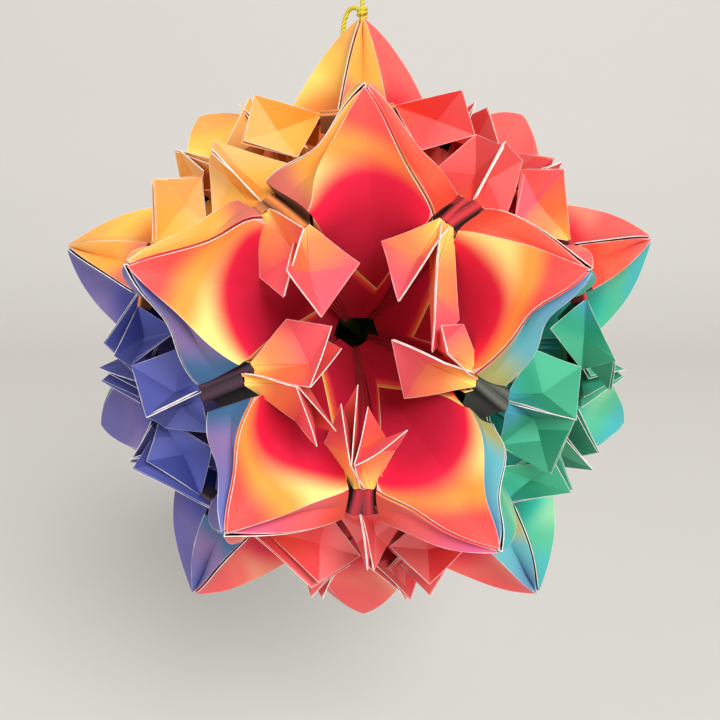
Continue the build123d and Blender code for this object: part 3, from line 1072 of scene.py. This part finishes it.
# Studio: pale floor that sweeps up behind the hanging ball
studio = {
    "floorDrop": 0.12,
    "floorFront": 1.2,
    "floorHalf": 1.6,
    "floorBack": 0.55,
    "sweep": ((0, 0.12, 0.03), (0, 0.09, 0.09), (0, 0.03, 0.12), (0, 0, 1.4)),
    "floorColour": "#dedbd6",
    "floorRoughness": 0.9,
    "worldColour": (1.0, 0.985, 0.97, 1.0),
    "worldLevel": 0.45,
    "keyPlace": (0.5, -1.2, 0.8),
    "keySize": 0.8,
    "keyWatts": 20,
    "fillPlace": (-1.2, -0.8, 0.4),
    "fillSize": 1.1,
    "fillWatts": 5,
}
bm = bmesh.new()
ends = (-studio["floorHalf"], studio["floorHalf"])
start = [bm.verts.new((x, -studio["floorFront"], -studio["floorDrop"])) for x in ends]
moved = [bm.edges.new(start)]
for step in ((0, studio["floorFront"] + studio["floorBack"], 0), *studio["sweep"]):
    made = bmesh.ops.extrude_edge_only(bm, edges=moved)["geom"]
    corners = [part for part in made if isinstance(part, bmesh.types.BMVert)]
    bmesh.ops.translate(bm, verts=corners, vec=step)
    edges = [part for part in made if isinstance(part, bmesh.types.BMEdge)]
    moved = [edge for edge in edges if all(corner in corners for corner in edge.verts)]
bmesh.ops.recalc_face_normals(bm, faces=bm.faces)
for face in bm.faces:
    face.smooth = True
sweep = bpy.data.meshes.new("floor")
bm.to_mesh(sweep)
bm.free()
floorMaterial, floorTree = newMaterial("floorPaint")
floorShader = floorTree.nodes["Principled BSDF"]
floorShader.inputs["Base Color"].default_value = paint(studio["floorColour"])
floorShader.inputs["Roughness"].default_value = studio["floorRoughness"]
sweep.materials.append(floorMaterial)
floor = bpy.data.objects.new("floor", sweep)
bpy.context.scene.collection.objects.link(floor)

world = bpy.data.worlds.new("studioWorld")
world.use_nodes = True
world.node_tree.nodes["Background"].inputs["Color"].default_value = studio["worldColour"]
world.node_tree.nodes["Background"].inputs["Strength"].default_value = studio["worldLevel"]
bpy.context.scene.world = world


def softLamp(name, place, size, watts):
    lamp = bpy.data.lights.new(name, "AREA")
    lamp.shape = "DISK"
    lamp.size = size
    lamp.energy = watts
    lampObject = bpy.data.objects.new(name, lamp)
    lampObject.location = place
    lampObject.rotation_mode = "QUATERNION"
    lampObject.rotation_quaternion = (-Vector(place)).to_track_quat("-Z", "Y")
    bpy.context.scene.collection.objects.link(lampObject)


softLamp("keyLamp", studio["keyPlace"], studio["keySize"], studio["keyWatts"])
softLamp("fillLamp", studio["fillPlace"], studio["fillSize"], studio["fillWatts"])

# Camera that looks straight into the front flower
view = {"lens": 41.4, "sensor": 36, "distance": 0.1779, "shift": (-0.0032, -0.0297), "clipStart": 0.01}
camera = bpy.data.cameras.new("camera")
camera.lens = view["lens"]
camera.sensor_width = view["sensor"]
camera.shift_x, camera.shift_y = view["shift"]
camera.clip_start = view["clipStart"]
cameraObject = bpy.data.objects.new("camera", camera)
cameraObject.location = frontAxis * view["distance"]
cameraObject.rotation_mode = "QUATERNION"
cameraObject.rotation_quaternion = (-frontAxis).to_track_quat("-Z", "Y")
bpy.context.scene.collection.objects.link(cameraObject)
bpy.context.scene.camera = cameraObject
bpy.context.scene.view_settings.view_transform = "Standard"
